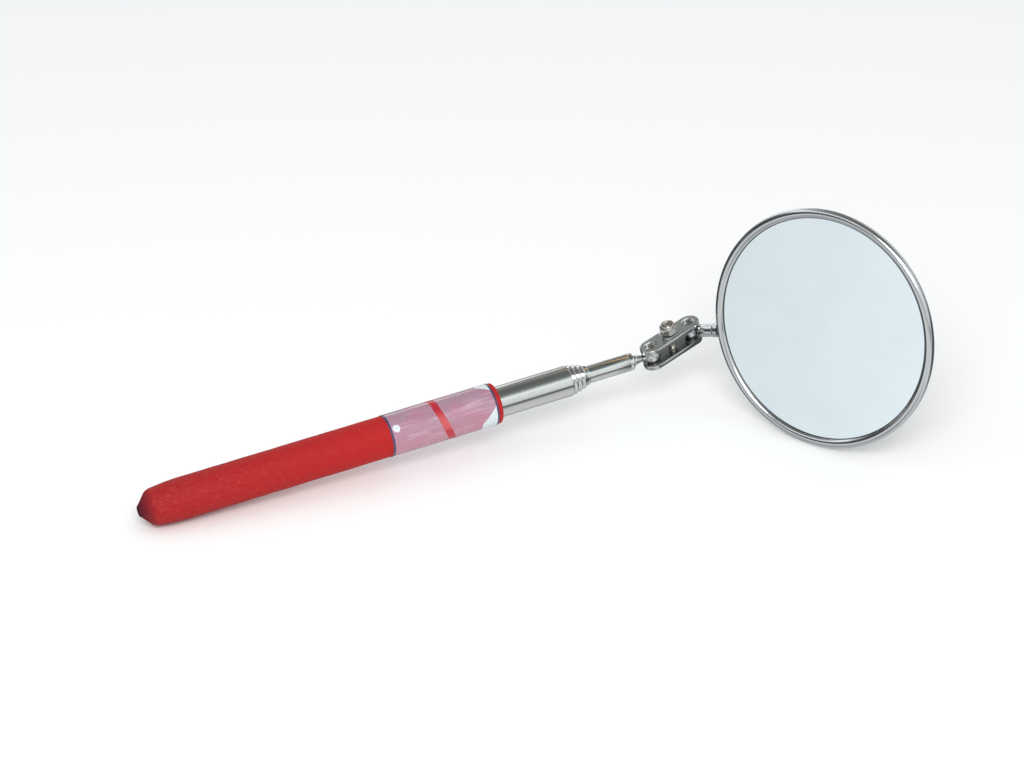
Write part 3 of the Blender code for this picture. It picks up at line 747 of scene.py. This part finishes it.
def plate_chrome(name):
    """Stamped plate: plated outside; the faces that look at each other are rougher and carry painted shade, a
    darker colour for the shade between the plates.
    """
    look = polished(name, (0.60, 0.61, 0.60), 0.12, (1.0, 0.06, 1.0), 0.06, 0.08)
    # Painted shade: darken the inner faces, where the plates shade each other.
    inside = look.spread(look.axis_value("Z"), PLATE_IN + 0.05, PLATE_IN + 0.30, 1.0, 0.0)
    look.paint_shade(inside, (0.24, 0.245, 0.24), 0.12)
    return look


def build_boss(look):
    """Square seat under the nut, with rounded corners and edges and a hole for the screw."""
    around = 72
    angles = [2 * math.pi * (i + 0.5) / around for i in range(around)]
    low = PLATE_OUT - BOSS_SUNK
    rings = []
    for inset, z in ((0.0, low), (0.0, BOSS_TOP - 0.22), (0.06, BOSS_TOP - 0.07), (0.20, BOSS_TOP),
                     (0.7, BOSS_TOP)):
        half = BOSS_HALF - inset - BOSS_CORNER
        ring = []
        for a in angles:
            reach = half / max(abs(math.cos(a)), abs(math.sin(a)))
            x, y = reach * math.cos(a), reach * math.sin(a)
            sides = [round(v / half) if abs(v) > 0.999 * half else 0 for v in (x, y)]
            push = Vector(sides).normalized() * BOSS_CORNER
            ring.append((SPACING / 2 + x + push.x, y + push.y, z))
        rings.append(ring)
    for z in (BOSS_TOP, low):
        rings.append([(SPACING / 2 + SCREW_HOLE_R * math.cos(a), SCREW_HOLE_R * math.sin(a), z)
                      for a in angles])
    verts = [point for ring in rings for point in ring]
    faces = []
    for k in range(len(rings)):
        faces += ring_faces(k * around, (k + 1) % len(rings) * around, around)
    piece("clamp_boss", verts, faces, CLAMP, "clamp", look, None, 35.0)


def build_screw():
    """Countersunk slotted screw with a rolled thread, and its head in the lower plate."""
    look = polished("tension_screw_zinc", (0.50, 0.47, 0.43), 0.22, (1.0, 1.0, 1.0), 0.10, 0.06)
    tip = NUT_TOP + 0.35
    thread_from = -1.6

    def shift(r, z, angle):
        phase = (z / THREAD_PITCH - angle / (2 * math.pi)) % 1.0
        ridge = np.abs(2.0 * phase - 1.0)
        run_in = np.clip((z - thread_from) / THREAD_PITCH, 0.0, 1.0)
        run_out = np.clip((tip - z) / THREAD_PITCH, 0.3, 1.0)
        threaded = (r > SCREW_R - 0.05) & (z > thread_from - 0.2)
        return np.where(threaded, SCREW_R - THREAD_DEPTH * ridge * (run_in * run_out), r), z
    outline = [(0.0, -PLATE_OUT), (2.6, -PLATE_OUT), (2.75, -PLATE_OUT + 0.04), (2.8, -PLATE_OUT + 0.18),
               (SCREW_R + 0.1, -2.45), (SCREW_R, -2.3)]
    outline += [(SCREW_R, z) for z in np.arange(-2.2, tip - 0.45, 0.07)]
    outline += [(SCREW_R, tip - 0.4), (SCREW_R - 0.15, tip - 0.12), (SCREW_R - 0.38, tip), (0.0, tip)]
    verts, faces = lathe_mesh(outline, 48, shift)
    verts[:, 0] += SPACING / 2
    made = piece("tension_screw_zinc", verts, faces, CLAMP, "clamp", look, "tension_screw",
                 30.0)
    corners = [(SPACING / 2 + SLOT_HALF_LENGTH * a, SLOT_HALF_WIDTH * b, z)
               for z in (-PLATE_OUT - 2.0, -PLATE_OUT + SLOT_DEPTH)
               for a, b in ((1, -1), (1, 1), (-1, 1), (-1, -1))]
    box = [[3, 2, 1, 0], [4, 5, 6, 7]] + ring_faces(0, 4, 4)
    carve(made, CLAMP, [cutter("slot_cutter", corners, box, CLAMP)])


def build_nut():
    """Lock nut: chamfered hexagon, round collar rolled over a nylon ring."""
    look = polished("lock_nut_zinc", (0.66, 0.63, 0.58), 0.16, (1.0, 1.0, 1.0), 0.07, 0.06)
    flat = NUT_FLATS / 2
    face_r = flat - 0.06
    bore = SCREW_R + 0.06

    def shift(r, z, angle):
        span = (angle % (math.pi / 3)) - math.pi / 6
        hexagon = np.minimum(flat / np.cos(span), flat / math.cos(math.pi / 6) - 0.06)
        cone = np.maximum(0.0, hexagon - face_r) * 0.60
        on_hex = r > flat + 0.2
        z = np.where(on_hex & (z < NUT_LOW + 0.2), z + cone, z)
        z = np.where(on_hex & (z > NUT_HEX_TOP - 0.2), z - cone, z)
        return np.where(on_hex, hexagon, r), z
    wide, collar, pocket = flat + 0.3, 2.40, 2.02
    outline = [(bore, NUT_LOW + 0.25), (bore + 0.25, NUT_LOW), (face_r, NUT_LOW), (wide, NUT_LOW + 0.02),
               (wide, NUT_LOW + 0.6), (wide, NUT_HEX_TOP - 0.6), (wide, NUT_HEX_TOP - 0.02),
               (face_r, NUT_HEX_TOP), (collar + 0.06, NUT_HEX_TOP + 0.02), (collar, NUT_HEX_TOP + 0.12)]
    outline += [(collar, NUT_TOP - 0.42)] + arc(1.98, NUT_TOP - 0.42, 0.42, 0, 100, 9)
    outline += [(1.80, NUT_TOP - 0.10), (1.78, NUT_TOP - 0.22), (pocket, NUT_TOP - 0.40),
                (pocket, NUT_HEX_TOP + 0.12), (bore, NUT_HEX_TOP + 0.08)]
    lathe("lock_nut_zinc", outline, CLAMP, "tension_nut", look, "lock_nut", 144, shift, 28.0,
          SPACING / 2)
    nylon = Look("nut_nylon", (0.42, 0.41, 0.36), 0.0, 0.45)
    nylon.bump((nylon.noise(5.0, 3.0), 0.2, 0.03))
    nylon.colour(nylon.mix(nylon.noise(2.0, 3.0), (0.44, 0.43, 0.38), (0.30, 0.29, 0.25)))
    low, high = NUT_HEX_TOP + 0.18, NUT_TOP - 0.44
    ring = [(1.54, low), (1.98, low), (1.98, high - 0.08), (1.92, high), (1.66, high), (1.54, high - 0.12)]
    lathe("nut_nylon_ring", ring, CLAMP, "tension_nut", nylon, "nut_insert", 72, None, 40.0,
          SPACING / 2)


def build_clamp():
    """The two plates, the boss, the screw and the lock nut."""
    flipped = CLAMP @ Matrix.Rotation(math.pi, 4, "X")
    hole, beyond = SCREW_HOLE_R, 6.0
    upper_look = plate_chrome("clamp_top_chrome")
    upper = plate("clamp_plate_top", "clamp_plate_upper", CLAMP, upper_look)
    straight = [(0.0, 1.0), (hole, 1.0), (hole, beyond), (0.0, beyond)]
    carve(upper, CLAMP, [round_cutter(straight, CLAMP)])
    build_boss(upper_look)
    lower = plate("clamp_plate_bottom", "clamp_plate_lower", flipped, plate_chrome("clamp_bottom_chrome"))
    sunk = [(0.0, 1.0), (hole, 1.0), (hole, 2.2), (3.0, PLATE_OUT - 0.25), (3.2, PLATE_OUT - 0.02),
            (3.4, 4.4), (3.4, beyond), (0.0, beyond)]
    carve(lower, flipped, [round_cutter(sunk, flipped)])
    build_screw()
    build_nut()


def build_stem():
    """Ball and stem of the mirror, and the collar where it meets the rim."""
    look = polished("mirror_stem_chrome", (0.66, 0.67, 0.69), 0.09)
    neck = BALL_2_NECK_R
    outline = ball_outline(neck)
    outline += smooth([(neck, 2.8), (neck, 3.5), (neck + 0.1, 3.8), (1.65, 4.1), (2.1, 4.3), (STEM_R, 4.7)])
    outline += [(STEM_R, 8.0), (STEM_R, STEM_TO_RIM - 0.3), (0.0, STEM_TO_RIM - 0.3)]
    lathe("mirror_stem_body", outline, STEM, "mirror_arm", look, "mirror_stem", 72)
    look = polished("ferrule_chrome", (0.64, 0.65, 0.67), 0.10)
    low, high = STEM_TO_RIM - 2.0, STEM_TO_RIM - 0.1
    bore = STEM_R + 0.02
    outline = [(bore, low), (2.27, low), (2.31, low + 0.06), (2.33, low + 0.8), (2.36, high), (bore, high)]
    lathe("stem_collar", outline, STEM, "mirror_head", look, "stem_ferrule", 72)


def rim_steel():
    """Polished cup, with painted shade: a dark line where its inner lip meets the glass."""
    look = polished("mirror_rim_chrome", (0.71, 0.725, 0.74), 0.13, (0.3, 0.3, 1.0))
    inside = look.spread(look.radius_value(), 38.22, 38.36, 1.0, 0.0)
    below = look.spread(look.axis_value("Z"), -0.92, -0.72, 1.0, 0.0)
    in_front = look.spread(look.axis_value("Z"), -2.2, -1.8, 0.0, 1.0)
    # Painted shade: the lip's inner wall in front of the glass is darkened as the shadow of the gap between lip
    # and glass.
    gap_shade = look.times(look.times(inside, below), in_front)
    look.paint_shade(gap_shade, (0.10, 0.11, 0.115), 0.35)
    return look


def build_mirror():
    """Spun cup with its rolled rim and a raised ring on the back, and the silvered glass in it."""
    raised = -DEPTH + 0.18
    outline = [(0.0, -DEPTH), (30.0, -DEPTH), (31.0, raised), (36.0, raised), (37.0, -DEPTH)]
    outline += arc(BACK_R - 0.6, -DEPTH + 0.6, 0.6, -90, -25, 5)
    outline += arc(RIM_R - BEAD_R, -BEAD_R, BEAD_R, -52, 154, 32)
    outline += smooth([(38.12, -0.98), (38.02, -1.06), (37.98, -1.12)], 2)
    outline += [(37.98, -1.18), (39.7, -1.18), (39.7, -3.35), (38.2, -4.2), (0.0, -4.2)]
    lathe("mirror_shell", outline, MIRROR, "mirror_head", rim_steel(), "mirror_cup", 256)

    silver = Look("mirror_silver", (0.80, 0.87, 0.90), 1.0, 0.015)
    film = silver.noise(0.05, 4.0, 0.6)
    dust = silver.noise(0.9, 6.0, 0.8)
    silver.rough(silver.add(silver.spread(film, 0.35, 0.75, 0.008, 0.03),
                            silver.spread(dust, 0.66, 0.8, 0.0, 0.10)))
    cloudy = silver.spread(film, 0.35, 0.7, 0.0, 1.0)
    silver.colour(silver.mix(cloudy, (0.82, 0.885, 0.915), (0.77, 0.85, 0.885)))
    top = -GLASS_BELOW_RIM
    outline = [(0.0, top - GLASS_THICK), (GLASS_R, top - GLASS_THICK), (GLASS_R, top - 0.3),
               (GLASS_R - 0.5, top)]
    outline += [(r, top) for r in (39.0, 38.8, 38.0, 36.0, 30.0, 20.0, 10.0, 0.0)]
    lathe("mirror_face", outline, MIRROR, "mirror_head", silver, "mirror_glass", 256, None,
          12.0)


def dress_hidden():
    """Finishes for the CAD nodes that are kept as they are, inside the tool."""
    for name in ("nose_bush", "middle_friction_sleeve", "middle_nose_bush", "inner_friction_sleeve"):
        frame["nodes"][name].data.materials[0] = brass(name + "_brass").material
    plug = polished("plug_steel", (0.45, 0.45, 0.45), 0.3, local=False)
    frame["nodes"]["tube_end_plug"].data.materials[0] = plug.material
    foam = Look("pad_foam", (0.03, 0.03, 0.03), 0.0, 0.9, False)
    foam.bump((foam.noise(3.0, 4.0), 0.6, 0.2))
    foam.colour(foam.mix(foam.noise(4.0, 4.0), (0.02, 0.02, 0.02), (0.06, 0.06, 0.06)))
    frame["nodes"]["backing_pad"].data.materials[0] = foam.material


# ---- Camera, floor and light ----

# What polished metal reflects: (Z of the direction, colour).  The surround is split by the X of the
# direction into left, middle, a narrow part right of the middle (FRONT_BANDS and REAR_BANDS), and right.
# Each of these is split by Y into front and rear.
FRONT_BANDS = [(-1.0, (0.76, 0.77, 0.77)), (-0.8, (0.72, 0.73, 0.73)), (-0.5, (0.66, 0.68, 0.68)),
               (-0.40, (0.46, 0.47, 0.47)), (-0.31, (0.17, 0.17, 0.175)), (-0.17, (0.15, 0.15, 0.155)),
               (-0.10, (0.42, 0.43, 0.43)), (-0.02, (0.86, 0.89, 0.89)), (0.3, (0.92, 0.98, 0.98)),
               (0.5, (0.90, 0.97, 0.97)), (0.62, (1.06, 1.14, 1.14)), (0.70, (1.10, 1.18, 1.17)),
               (0.78, (0.64, 0.71, 0.72)), (0.86, (0.30, 0.34, 0.35)), (0.93, (0.13, 0.15, 0.135)),
               (1.0, (0.13, 0.14, 0.12))]
FRONT_MIDDLE_BANDS = [(-1.0, (0.70, 0.71, 0.71)), (-0.6, (0.84, 0.86, 0.86)), (-0.2, (0.90, 0.92, 0.92)),
                      (-0.04, (0.60, 0.61, 0.61)), (0.02, (0.16, 0.16, 0.165)), (0.08, (0.16, 0.16, 0.165)),
                      (0.15, (0.80, 0.83, 0.83)), (0.5, (0.95, 1.0, 1.0)), (0.66, (1.12, 1.2, 1.2)),
                      (0.78, (0.55, 0.60, 0.60)), (0.90, (0.20, 0.22, 0.22)), (1.0, (0.15, 0.16, 0.15))]
REAR_BANDS = [(-1.0, (0.60, 0.61, 0.61)), (-0.7, (0.42, 0.43, 0.43)), (-0.5, (0.42, 0.43, 0.43)),
              (0.10, (0.50, 0.505, 0.50)), (0.36, (0.42, 0.42, 0.40)), (0.49, (0.26, 0.25, 0.23)),
              (0.58, (0.085, 0.07, 0.055)), (0.66, (0.10, 0.08, 0.06)), (0.72, (0.34, 0.25, 0.16)),
              (0.76, (0.66, 0.48, 0.31)), (0.84, (0.76, 0.55, 0.36)), (0.880, (0.22, 0.165, 0.11)),
              (0.93, (0.12, 0.12, 0.095)), (1.0, (0.13, 0.13, 0.11))]
REAR_MIDDLE_BANDS = [(-1.0, (0.60, 0.61, 0.61)), (-0.7, (0.30, 0.31, 0.31)), (-0.5, (0.08, 0.085, 0.085)),
                     (-0.04, (0.06, 0.065, 0.065)), (0.06, (0.35, 0.36, 0.36)), (0.16, (1.4, 1.45, 1.45)),
                     (0.36, (1.8, 1.85, 1.85)), (0.43, (1.4, 1.45, 1.45)), (0.51, (0.42, 0.44, 0.43)),
                     (0.58, (0.34, 0.36, 0.35)), (0.68, (0.38, 0.40, 0.39)), (0.80, (0.22, 0.23, 0.225)),
                     (1.0, (0.14, 0.15, 0.14))]
LEFT_BANDS = [(-1.0, (0.52, 0.53, 0.54)), (-0.6, (0.52, 0.54, 0.55)), (-0.42, (0.68, 0.71, 0.73)),
              (-0.34, (0.90, 0.93, 0.945)), (-0.20, (0.90, 0.93, 0.945)), (-0.12, (0.56, 0.58, 0.59)),
              (0.0, (0.11, 0.11, 0.115)), (0.10, (0.05, 0.05, 0.055)), (0.26, (0.05, 0.05, 0.055)),
              (0.42, (0.20, 0.21, 0.22)), (0.50, (0.50, 0.52, 0.54)), (0.56, (1.35, 1.38, 1.42)),
              (0.66, (1.25, 1.28, 1.3)), (0.76, (0.42, 0.43, 0.44)), (1.0, (0.13, 0.13, 0.12))]
LEFT_FRONT_BANDS = [(-1.0, (0.40, 0.41, 0.42)), (-0.6, (0.42, 0.43, 0.44)), (-0.36, (0.74, 0.77, 0.78)),
                    (-0.10, (0.80, 0.83, 0.84)), (0.04, (0.66, 0.68, 0.69)), (0.14, (0.54, 0.56, 0.57)),
                    (0.5, (0.54, 0.56, 0.57)), (0.75, (0.38, 0.40, 0.40)), (1.0, (0.14, 0.15, 0.14))]
RIGHT_REAR_BANDS = [(-1.0, (0.60, 0.61, 0.61)), (-0.5, (0.64, 0.65, 0.66)), (-0.1, (0.52, 0.53, 0.54)),
                    (0.02, (0.34, 0.35, 0.36)), (0.2, (0.72, 0.75, 0.76)), (0.55, (0.92, 0.96, 0.97)),
                    (0.8, (0.40, 0.42, 0.42)), (1.0, (0.16, 0.17, 0.16))]
RIGHT_BANDS = [(-1.0, (0.60, 0.61, 0.61)), (-0.75, (0.34, 0.35, 0.35)), (-0.5, (0.09, 0.095, 0.10)),
               (0.0, (0.08, 0.085, 0.09)), (0.25, (0.50, 0.52, 0.52)), (0.6, (0.70, 0.73, 0.73)),
               (0.8, (0.30, 0.32, 0.32)), (1.0, (0.14, 0.15, 0.14))]


def add_camera():
    data = bpy.data.cameras.new("camera")
    data.lens = CAMERA_LENS
    data.sensor_width = CAMERA_SENSOR
    data.clip_start, data.clip_end = CAMERA_CLIP
    camera = bpy.data.objects.new("camera", data)
    bpy.context.scene.collection.objects.link(camera)
    azimuth, elevation = math.radians(CAMERA_AZIMUTH), math.radians(CAMERA_ELEVATION)
    looking = Vector((math.sin(azimuth) * math.cos(elevation), math.cos(azimuth) * math.cos(elevation),
                      -math.sin(elevation)))
    camera.location = Vector(CAMERA_TARGET) - looking * CAMERA_DISTANCE
    camera.rotation_euler = looking.to_track_quat("-Z", "Y").to_euler()
    bpy.context.scene.camera = camera


def add_floor():
    """Plain pale floor.  Polished pieces reflect the surround in its place."""
    ticks = np.linspace(-FLOOR_REACH, FLOOR_REACH, FLOOR_CELLS + 1)
    verts = [(x, y, FLOOR_HEIGHT) for y in ticks for x in ticks]
    row = FLOOR_CELLS + 1
    faces = [[j * row + i, j * row + i + 1, (j + 1) * row + i + 1, (j + 1) * row + i]
             for j in range(FLOOR_CELLS) for i in range(FLOOR_CELLS)]
    mesh = bpy.data.meshes.new("floor")
    mesh.from_pydata(verts, [], faces)
    floor = bpy.data.objects.new("floor", mesh)
    bpy.context.scene.collection.objects.link(floor)
    look = Look("floor_paper", (0.965, 0.97, 0.97), 0.0, 0.85, False)
    mesh.materials.append(look.material)
    floor.visible_glossy = False


class Surround:
    """Node helpers for the banded surround that polished pieces reflect."""

    def __init__(self, tree):
        self.tree = tree
        self.direction = tree.nodes.new("ShaderNodeSeparateXYZ")
        coord = tree.nodes.new("ShaderNodeTexCoord")
        tree.links.new(coord.outputs["Generated"], self.direction.inputs[0])

    def spread(self, axis, low, high, to_low=0.0, to_high=1.0, kind="LINEAR"):
        made = self.tree.nodes.new("ShaderNodeMapRange")
        made.interpolation_type = kind
        for socket, value in (("From Min", low), ("From Max", high), ("To Min", to_low), ("To Max", to_high)):
            made.inputs[socket].default_value = value
        self.tree.links.new(self.direction.outputs[axis], made.inputs["Value"])
        return made.outputs["Result"]

    def weight(self, axis, low, high):
        return self.spread(axis, low, high, kind="SMOOTHSTEP")

    def bands(self, stops):
        """Colour by the Z of the direction."""
        made = self.tree.nodes.new("ShaderNodeValToRGB")
        made.color_ramp.interpolation = "EASE"
        while len(made.color_ramp.elements) < len(stops):
            made.color_ramp.elements.new(0.5)
        for element, (z, colour) in zip(made.color_ramp.elements, stops):
            element.position = (z + 1) / 2
            element.color = (*colour, 1.0)
        self.tree.links.new(self.spread("Z", -1.0, 1.0), made.inputs[0])
        return made.outputs["Color"]

    def blended(self, factor, first, second):
        made = self.tree.nodes.new("ShaderNodeMix")
        made.data_type = "RGBA"
        self.tree.links.new(factor, made.inputs[0])
        self.tree.links.new(first, made.inputs[6])
        self.tree.links.new(second, made.inputs[7])
        return made.outputs[2]

    def shaded(self, colour, brightness):
        made = self.tree.nodes.new("ShaderNodeMix")
        made.data_type = "RGBA"
        made.blend_type = "MULTIPLY"
        made.inputs[0].default_value = 1.0
        self.tree.links.new(colour, made.inputs[6])
        self.tree.links.new(brightness, made.inputs[7])
        return made.outputs[2]

    def both(self, first, second):
        made = self.tree.nodes.new("ShaderNodeMath")
        made.operation = "MULTIPLY"
        self.tree.links.new(first, made.inputs[0])
        self.tree.links.new(second, made.inputs[1])
        return made.outputs[0]

    def colour(self):
        """The whole surround."""
        to_rear = self.weight("Y", -0.20, 0.20)
        to_right = self.weight("X", 0.25, 0.33)
        front = self.blended(to_right, self.bands(FRONT_MIDDLE_BANDS), self.bands(FRONT_BANDS))
        rear_middle = self.bands(REAR_MIDDLE_BANDS)
        rear = self.blended(to_right, rear_middle, self.bands(REAR_BANDS))
        middle = self.blended(to_rear, front, rear)
        right_rear = self.bands(RIGHT_REAR_BANDS)
        right = self.blended(self.weight("Y", 0.05, 0.25), self.bands(RIGHT_BANDS), right_rear)
        with_right = self.blended(self.weight("X", 0.44, 0.64), middle, right)
        left = self.shaded(self.bands(LEFT_BANDS), self.spread("Y", -0.12, -0.05, 1.05, 0.92))
        low_rear = self.both(self.weight("Y", 0.10, 0.35), self.weight("Z", 0.15, -0.05))
        left = self.blended(low_rear, left, rear_middle)
        left = self.blended(self.weight("Y", -0.32, -0.14), self.bands(LEFT_FRONT_BANDS), left)
        return self.blended(self.weight("X", -0.38, -0.08), left, with_right)


def add_world():
    """Soft studio: even pale light for matt surfaces, and the banded surround for polished ones."""
    world = bpy.data.worlds.new("studio")
    bpy.context.scene.world = world
    world.use_nodes = True
    tree = world.node_tree
    tree.nodes.clear()
    output = tree.nodes.new("ShaderNodeOutputWorld")
    even = tree.nodes.new("ShaderNodeBackground")
    even.inputs["Color"].default_value = EVEN_LIGHT
    even.inputs["Strength"].default_value = EVEN_STRENGTH
    banded = tree.nodes.new("ShaderNodeBackground")
    tree.links.new(Surround(tree).colour(), banded.inputs["Color"])
    mix = tree.nodes.new("ShaderNodeMixShader")
    path = tree.nodes.new("ShaderNodeLightPath")
    tree.links.new(path.outputs["Is Glossy Ray"], mix.inputs[0])
    tree.links.new(even.outputs[0], mix.inputs[1])
    tree.links.new(banded.outputs[0], mix.inputs[2])
    tree.links.new(mix.outputs[0], output.inputs[0])


def add_key_light():
    data = bpy.data.lights.new("key", "AREA")
    data.shape = "RECTANGLE"
    data.size, data.size_y = KEY_SIZE
    data.energy = KEY_POWER
    data.color = KEY_COLOUR
    light = bpy.data.objects.new("key", data)
    bpy.context.scene.collection.objects.link(light)
    light.location = KEY_AT
    light.rotation_euler = (Vector(KEY_TARGET) - Vector(KEY_AT)).to_track_quat("-Z", "Y").to_euler()


build_grip()
build_label()
build_tubes()
build_handle_ball()
build_clamp()
build_stem()
build_mirror()
dress_hidden()
add_floor()
add_camera()
add_world()
add_key_light()
bpy.context.scene.view_settings.view_transform = "Standard"
